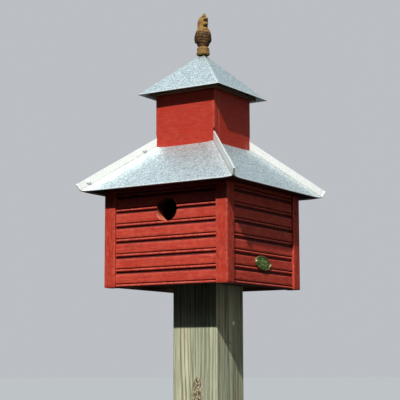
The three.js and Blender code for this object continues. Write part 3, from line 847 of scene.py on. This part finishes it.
# ---- cupola

CAP_PITCH = 44 * DEG
SLOT_HALF = 1.25 * MM
SLOT_TOP = UNDER + 271 * MM


def add_cupola():
    """Painted boards, slotted at the corners where the roof's seams run in."""
    for side in SIDES:
        node = f"cupola_{side}"
        board = timber(f"cupola_board_{side}", *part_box(node), "Z", 0.7 * MM, 6 * MM)
        if side in ("front", "rear"):
            cutters = []
            for angle in (45, 135, 225, 315):
                turn = Matrix.Rotation(angle * DEG, 4, "Z")
                low = (SEAM_INNER_R - 2 * MM, -SLOT_HALF, CUPOLA_LOW.z - 2 * MM)
                cutters.append(block("slot", low, (120 * MM, SLOT_HALF, SLOT_TOP), turn))
            carve(board, *cutters)
        dress(board, [RED["cupola"]], [node])


def add_cupola_roof():
    """A pyramid folded from one sheet, with small-radius hips and a slight hollow in each face."""
    rise = math.tan(CAP_PITCH)
    eave_half = CAP_HIGH.x
    apex = CAP_LOW.z + eave_half * rise
    top_half = (apex - CAP_HIGH.z) / rise
    rows, columns, radius = 26, 22, 0.7 * MM
    rings, fresh = [], []
    for r in range(rows + 1):
        t = r / rows
        half = eave_half + (top_half - eave_half) * t
        bend = min(radius, 0.4 * half)
        ring = []
        for quarter in range(4):
            turn = Matrix.Rotation(quarter * 90 * DEG, 4, "Z")
            for i in range(columns + 1):
                s = 2 * i / columns - 1
                x = (half - bend) * s
                hollow = 0.7 * MM * (1 - s * s) * math.sin(math.pi * min(1, t * 1.15))
                ripple = 0.25 * MM * noise.noise(Vector((x * 18, half * 18, quarter * 5)))
                z = apex - half * rise - hollow + ripple * (1 - s * s)
                ring.append(turn @ Vector((x, -half, z)))
                # Painted highlight along the eaves and the hips.
                from_edge = min(eave_half - half, 3 * (half - abs(x)))
                fresh.append(0.6 * max(0.0, 1 - from_edge / (3.5 * MM)))
            for angle in (30, 60):
                x = half - bend + bend * math.sin(angle * DEG)
                y = -(half - bend + bend * math.cos(angle * DEG))
                ring.append(turn @ Vector((x, y, apex - half * rise)))
                # The hips' bends also take painted highlight.
                fresh.append(0.5)
        rings.append(ring)
    cap = skin("cap_sheet", rings, {"fresh": fresh}, ends_closed=False, smooth_below=30)
    thicken(cap)
    dress(cap, [SHEET], ["cupola_roof"])


# ---- post


def post_relief(point):
    """Weathered softwood: ridges of hard latewood along the grain."""
    rings = noise.noise(Vector((point.x * 230, point.y * 230, point.z * 5)))
    waves = noise.noise(Vector((point.x * 45, point.y * 45, point.z * 4)))
    return 0.2 * MM * rings + 0.25 * MM * waves


KNOT = {"x": 16.4 * MM, "z": UNDER - 188 * MM, "half": (11.2 * MM, 18 * MM, 36 * MM)}
PITH = (-92 * MM, 3 * MM)  # the growth rings' axis, from the post's axis


def treated_pine():
    """Pressure-treated pine gone grey green: growth rings about an axis outside the post."""
    shader = Shader("treated_pine")
    low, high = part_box("post")
    middle = (low + high) / 2
    x, y, z = (shader.axes()[i] for i in range(3))

    def square(value):
        return shader.math("MULTIPLY", value, value)

    def offset(value, at):
        return shader.math("SUBTRACT", value, at)

    # The grain parts round a long knot low on the front face.
    from_knot = [
        shader.math("DIVIDE", offset(value, at), half)
        for value, at, half in zip((x, y, z), (KNOT["x"], low.y, KNOT["z"]), KNOT["half"])
    ]
    reach = shader.math("ADD", square(from_knot[0]), square(from_knot[1]))
    reach = shader.math("ADD", reach, square(from_knot[2]))
    near = shader.math("POWER", math.e, shader.math("MULTIPLY", reach, -0.42))
    parted = shader.math("MULTIPLY", shader.math("MULTIPLY", from_knot[0], near), 7.5 * MM)
    dx = offset(shader.math("ADD", x, parted), middle.x + PITH[0])
    dy = offset(y, middle.y + PITH[1])
    radius = shader.math("SQRT", shader.math("ADD", square(dx), square(dy)))
    drift = shader.noise(24, (1, 1, 0.1), 3, 0.6)
    widths = shader.noise(90, (1, 1, 0.02), 2, 0.6)
    radius = shader.math("ADD", radius, shader.math("MULTIPLY", drift, 13 * MM))
    radius = shader.math("ADD", radius, shader.math("MULTIPLY", widths, 12 * MM))
    rings = shader.math("FRACT", shader.math("MULTIPLY", radius, 1 / (6.6 * MM)))
    pale, tan, late = srgb(200, 199, 172), srgb(180, 163, 125), srgb(98, 102, 78)
    base = shader.ramp(
        rings, [(0.0, pale), (0.4, pale), (0.66, tan), (0.84, late), (0.9, late), (0.96, pale)]
    )
    fibres = shader.noise(820, (1, 1, 0.03), 4, 0.65)
    streaks = shader.noise(250, (1, 1, 0.014), 3, 0.65)
    moss = shader.noise(34, (1, 1, 0.1), 3, 0.5)
    base = shader.mix(shader.span(streaks, 0.42, 0.62, 0, 0.6), base, srgb(146, 150, 122))
    base = shader.mix(shader.span(moss, 0.42, 0.68, 0, 0.5), base, srgb(140, 158, 128))
    base = shader.mix(shader.span(fibres, 0.5, 0.68, 0, 0.55), base, srgb(84, 82, 60))
    base = shader.mix(shader.span(fibres, 0.3, 0.42, 0.5, 0), base, srgb(226, 224, 204))
    checks = shader.noise(260, (1, 1, 0.008), 3, 0.7)
    base = shader.mix(shader.span(checks, 0.54, 0.61, 0, 0.6), base, srgb(96, 102, 82))
    # The knot's torn, granular middle.
    core = shader.span(reach, 0.85, 1.2, 1, 0)
    crumbs = shader.noise(640, (1, 1, 0.45), 3, 0.7, 0.6)
    torn = shader.ramp(crumbs, [(0.46, srgb(52, 46, 36)), (0.55, srgb(184, 172, 138))])
    base = shader.mix(core, base, torn)
    shader.put("Base Color", base)
    shader.put("Roughness", 0.86)
    crust = shader.math("MULTIPLY", core, crumbs)
    shader.bump((rings, 0.3 * MM), (fibres, 0.5 * MM), (streaks, 0.4 * MM), (crust, 1.2 * MM))
    return shader.material


def screw_head(name, node, out, radius, high, shank, length, finish=ZINC):
    """A pan-head screw with a cross recess, on the CAD screw's axis."""
    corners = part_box(node)
    out = Vector(out)
    center = (corners[0] + corners[1]) / 2
    seat = center + out * (abs((corners[1] - corners[0]).dot(out)) / 2 - high)
    outline = [
        (0, -length),
        (shank, -length + 2 * shank),
        (shank, 0),
        (radius, 0),
        (radius, 0.25 * high),
    ] + dome(radius * 0.98, 0.72 * high, 0.28 * high)
    up = (0, 0, 1) if abs(out.z) < 0.5 else (0, 1, 0)
    place = place_at(seat, out, up)
    screw = turned(name, outline, place, 32)
    reach, slit = 0.42 * radius, 0.11 * radius
    cutters = [
        block("slit", (-a, -b, 0.45 * high), (a, b, 2 * high), place @ Matrix.Rotation(0.5, 4, "Z"))
        for a, b in ((reach, slit), (slit, reach))
    ]
    carve(screw, *cutters)
    dress(screw, [finish], [node])


def add_post():
    low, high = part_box("post")
    post = timber("post_timber", low, high, "Z", 2.5 * MM, 2.2 * MM, post_relief)
    nail_holes = []
    for y, drop in ((-19 * MM, 93 * MM), (-5.9 * MM, 94.6 * MM)):
        place = place_at((high.x + 2 * MM, y, UNDER - drop), (1, 0, 0))
        nail_holes.append(turned("nail_hole", [(1.7 * MM, -9 * MM), (1.9 * MM, 0)], place, 16))
    carve(post, *nail_holes)
    dress(post, [treated_pine()], ["post"])
    place = ("post_screw", "post_face_screw", (1, 0, 0))
    # The post screw takes the near-white zinc as a painted glint.
    screw_head(*place, 4.3 * MM, 1.9 * MM, 2 * MM, 28 * MM, GLINT_ZINC)


# ---- rear fittings


def add_rear_fittings():
    """The turn button and the screws that show on the rear corner posts."""
    low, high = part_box("turn_button")
    middle = (low + high) / 2
    radius = (high.x - low.x) / 2
    thick = high.y - low.y
    ease = 1.2 * MM
    rings = []
    for y, inset in ((0, 0), (thick - ease, 0), (thick - 0.3 * ease, 0.3 * ease), (thick, ease)):
        ring = []
        for i in range(48):
            angle = 2 * math.pi * i / 48
            end = high.z - radius if math.sin(angle) >= 0 else low.z + radius
            r = radius - inset
            x, z = middle.x + r * math.cos(angle), end + r * math.sin(angle)
            ring.append(Vector((x, low.y + y, z)))
        rings.append(ring)
    # The rim's outer edge takes the mark for worn paint and painted highlight.
    wear = [0.1 if k < 2 else 0.9 for k in range(4) for _ in range(48)]
    button = skin("swivel_button", rings, {"wear": wear})
    dress(button, [RED["trim"]], ["turn_button"], "button")
    screw_head("button_screw", "turn_button_screw", (0, 1, 0), 4 * MM, 2.4 * MM, 2 * MM, 24 * MM)
    for hand, sign in (("left", -1), ("right", 1)):
        node = f"door_pivot_screw_{hand}"
        place = (f"pivot_screw_{hand}", node, (sign, 0, 0))
        screw_head(*place, 4 * MM, 2.6 * MM, 2.2 * MM, 44 * MM, RED["trim"])


# ---- plaque

# Half sizes of the oval plate and of its sunk field, in millimetres.
PLATE = (26.1, 12.2)
FIELD = (21.5, 10.5)
FIELD_DEEP = 0.9 * MM
PLAQUE_TILT = -6 * DEG


def add_plaque():
    """A domed oval plate with a rolled rim, a sunk enamel field and a raised sprig of leaves."""
    low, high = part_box("plaque")
    middle = (low + high) / 2
    tilt = Matrix.Rotation(PLAQUE_TILT, 4, "Z")
    place = place_at((low.x, middle.y, middle.z), (1, 0, 0)) @ tilt
    thick = high.x - low.x
    floor = thick - FIELD_DEEP

    def oval(size, inset, z, shrink=1.0):
        a, b = ((half - inset) * shrink * MM for half in size)
        angles = [i * math.pi / 48 for i in range(96)]
        return [place @ Vector((a * math.cos(t), b * math.sin(t), z)) for t in angles]

    rings = [
        oval(PLATE, 0, 0),
        oval(PLATE, 0, 0.6 * thick),
        oval(PLATE, 0.25, 0.85 * thick),
        oval(PLATE, 0.8, thick),
        oval(PLATE, 1.6, thick),
        oval(FIELD, -0.3, thick - 0.15 * MM),
        oval(FIELD, 0, floor + 0.2 * MM),
        oval(FIELD, 0.2, floor),
    ]
    dress(skin("plaque_plate", rings), [BRASS], ["plaque"])

    base = floor + 0.05 * MM
    rings = [oval(FIELD, 0.35, base)]
    for i in range(7):
        lift = base + 0.25 * MM + 0.45 * MM * math.sin(i / 6 * 90 * DEG)
        rings.append(oval(FIELD, 0.35, lift, math.cos(i / 6 * 88 * DEG)))
    dress(skin("plaque_enamel", rings), [ENAMEL], ["plaque_field"])

    lift = base + 0.5 * MM
    ends = (-14 * MM, -0.45 * MM, 0), (12 * MM, 0.45 * MM, 0.5 * MM)
    stem = timber("sprig_stem", *ends, "X", 0.2 * MM, 2 * MM)
    stem.data.transform(place @ Matrix.Translation((0, 0, lift)))
    dress(stem, [LEAF_BRASS], [])
    for k in range(6):
        x, side = 7 * (k // 2) - 9, 1 - 2 * (k % 2)
        at = Matrix.Translation((x * MM, side * 1.3 * MM, lift))
        turn = Matrix.Rotation(side * 26 * DEG, 4, "Z")
        leaf(f"sprig_leaf_{k}", place @ at @ turn, 8.5 * MM, 1.9 * MM)
    leaf("sprig_leaf_tip", place @ Matrix.Translation((11 * MM, 0, lift)), 6 * MM, 1.4 * MM)

    for hand in ("front", "rear"):
        node = f"plaque_brad_{hand}"
        b_low, b_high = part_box(node)
        at = (b_low + b_high) / 2
        seat = Vector((high.x + 0.15 * MM, at.y, at.z))
        outline = [(0, -14 * MM), (1 * MM, -12 * MM), (1 * MM, 0), (1.9 * MM, 0)]
        outline += dome(1.9 * MM, 1.25 * MM, 0.1 * MM)
        brad = turned(f"brad_{hand}", outline, place_at(seat, (1, 0, 0)), 24)
        dress(brad, [PALE_BRASS], [node])


def leaf(name, place, long, half_wide):
    """A small raised leaf, pointed at both ends, from local X = 0."""
    rings = []
    for i in range(9):
        t = i / 8
        wide = max(half_wide * math.sin(math.pi * t) ** 0.8, 0.02 * MM)
        high = 0.5 * MM * math.sin(math.pi * t) + 0.05 * MM
        arc = [(math.cos(a * DEG) * wide, math.sin(a * DEG) * high) for a in range(0, 181, 30)]
        rings.append([place @ Vector((long * t, y, z)) for y, z in arc])
    dress(skin(name, rings), [LEAF_BRASS], [])


# ---- finial

BIRD_TURN = 33 * DEG  # the bird is made facing -Y, and looks a little to one side

# The collar and the bird's body: radius and height over the foot, in millimetres.
COLLAR = (
    (0, 0), (10.9, 0), (11.9, 0.8), (12.0, 2.4), (11.7, 4.4), (11.1, 6.5), (10.9, 9.5),
    (11.0, 11.6), (10.7, 12.8), (9.4, 13.9), (7.8, 14.9), (0, 15.4),
)
BODY = (
    (0, 12.5), (8, 13.5), (8.2, 15.6), (9.4, 18.2), (10.9, 21.2), (12.2, 24.6), (13.2, 28.2),
    (13.8, 32), (13.7, 36), (13.2, 39.6), (12, 43.4), (10.2, 47.4), (8.6, 51.4), (8.1, 55.4),
    (8.0, 58.5), (0, 60),
)


def revolve(shape, outline, depth=1.0, sides=40):
    """Adds a turned form in millimetres to a bmesh, squeezed front to back by depth."""
    angles = [2 * math.pi * i / sides for i in range(sides)]
    rings = []
    for radius, height in outline:
        r = max(radius, 0.05) * MM
        rings.append([(r * math.cos(a), depth * r * math.sin(a), height * MM) for a in angles])
    loft(shape, rings)


def ellipsoid(shape, center, radii, tilt=0.0):
    """Adds an ellipsoid in millimetres to a bmesh. tilt turns it about local Y, in degrees."""
    place = Matrix.Translation(Vector(center) * MM) @ Matrix.Rotation(tilt * DEG, 4, "Y")
    scale = Matrix.Diagonal((*[r * MM for r in radii], 1))
    bmesh.ops.create_icosphere(shape, subdivisions=4, radius=1, matrix=place @ scale)


def feather_relief(point):
    """Overlapping scales on the bird's breast and long flight feathers on its wings."""
    x, y, z = point / MM
    if not 15 < z < 50:
        return 0.0, 0.0
    fade = min(1.0, (z - 15) / 2) * min(1.0, max(0.0, (50 - z) / 6))
    angle = math.atan2(y, x) + math.pi / 2
    angle = math.atan2(math.sin(angle), math.cos(angle))  # 0 on the breast
    wing = min(1.0, max(0.0, (abs(angle) - 1.0) / 0.12))
    row_high, count = 5.0, 7
    v = z / row_high + 0.12 * math.sin(3 * angle)
    row = math.floor(v)
    u = angle * count / math.pi + 0.5 * (row % 2)
    across = abs(u - math.floor(u) - 0.5) * 2
    tip = v - row - 0.4 * across * across
    scale_high = max(0.0, 1 - max(0.0, tip))
    scale_gap = max(0.0, 1 - abs(tip) / 0.26)
    slant = (abs(angle) * 4.6 + z * 0.3) % 1.6
    vane_gap = max(0.0, 1 - abs(slant - 0.8) / 0.34)
    high = (1 - wing) * scale_high + wing * (1 - vane_gap)
    gap = (1 - wing) * scale_gap + wing * vane_gap
    return fade * (0.9 * high - 1.1 * gap) * MM, fade * gap


def add_finial():
    """A perched bird with folded wings on a flared collar, cast in one piece."""
    low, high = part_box("finial")
    tall = (high.z - low.z) / MM
    shape = bmesh.new()
    revolve(shape, COLLAR)
    revolve(shape, BODY, 0.9)
    for center, radii, tilt in (
        ((-0.2, 0.4, 60.5), (9.4, 7.8, 12.4), 2),  # head
        ((1.6, -0.4, tall - 6), (3.8, 3.4, 5.8), 6),  # crown
        ((-5.0, 1.4, 59), (5.2, 5.6, 12.5), 5),  # hackle down the back of the neck
        ((4.6, -5.8, 66.2), (4.6, 4.2, 3.1), 4),  # beak
        ((1.6, -5.4, 71.2), (3.4, 2.6, 2.4), 0),  # brow
        ((4.2, -5.8, 56.8), (5.2, 4.8, 3.9), -3),  # wattle
        ((1.4, -5.8, 46.6), (6.0, 4.6, 4.6), 0),  # throat
        ((-11.3, 1.5, 34), (3.2, 7.2, 11), 8),  # wings
        ((10.9, 1.5, 35), (3.0, 7.2, 11), -8),
        ((0, 9.2, 26), (7.0, 4.2, 13), 0),  # tail
    ):
        ellipsoid(shape, center, radii, tilt)
    bmesh.ops.recalc_face_normals(shape, faces=shape.faces)
    bird = piece("bird_finial", shape)
    remesh = bird.modifiers.new("cast", "REMESH")
    remesh.mode = "VOXEL"
    remesh.voxel_size = 0.5 * MM
    smooth = bird.modifiers.new("melt", "SMOOTH")
    smooth.factor = 0.5
    smooth.iterations = 3
    apply_modifiers(bird)
    mesh = bird.data
    hollow = []
    for vert in mesh.vertices:
        push, gap = feather_relief(vert.co)
        grit = 0.2 * MM * noise.noise(vert.co * 900) + 0.3 * MM * noise.noise(vert.co * 300)
        z = vert.co.z / MM
        patch = noise.noise(vert.co * 240) + 0.6 * noise.noise(vert.co * 620)
        body = min(1.0, max(0.0, 3.4 - abs(z - 28) / 4.6))  # darker on the body than on the head
        shade = body * (0.72 + 0.5 * patch)
        # Painted shadow under the beak and under the wattle, on the beak's side of the head.
        for crease, reach in ((61.6, 1.2), (51.8, 1.2)):
            if vert.co.x > -1 * MM and vert.co.y < 2 * MM:
                shade = max(shade, 1.4 - abs(z - crease) / reach)
        vert.co += vert.normal * (push * 1.2 + grit)
        if z < 14:
            shade = max(shade, 0.22)
        hollow.append(min(1.0, max(0.0, 0.6 * gap + shade)))
    give(mesh, "hollow", hollow)
    mesh.transform(Matrix.Translation((0, 0, low.z)) @ Matrix.Rotation(BIRD_TURN, 4, "Z"))
    soften(bird, 60)
    dress(bird, [IRON], ["finial"])


# ---- the CAD pieces that stay


def dress_kept_nodes():
    """Bare boards and hidden fasteners keep their CAD shape and get a finished material."""
    kept = {
        "floor_board": BARE["level"],
        "roof_base_board": SHADED_SOFFIT_WOOD,
        "cupola_top_plate": SHADED_SOFFIT_WOOD,
        "finial_block": BARE["upright"],
    }
    for name, node in frame["nodes"].items():
        material = kept.get(name)
        if material is None and not node.hide_render:
            material = ZINC
        if material is None:
            continue
        node.data.materials.clear()
        node.data.materials.append(material)


add_siding()
add_corner_posts()
for number, name in enumerate(SIDES):
    add_roof_panel(name, 3.7 * number)
add_seam_details()
add_cupola()
add_cupola_roof()
add_post()
add_rear_fittings()
add_plaque()
add_finial()
dress_kept_nodes()

bpy.context.scene.view_settings.view_transform = "Standard"
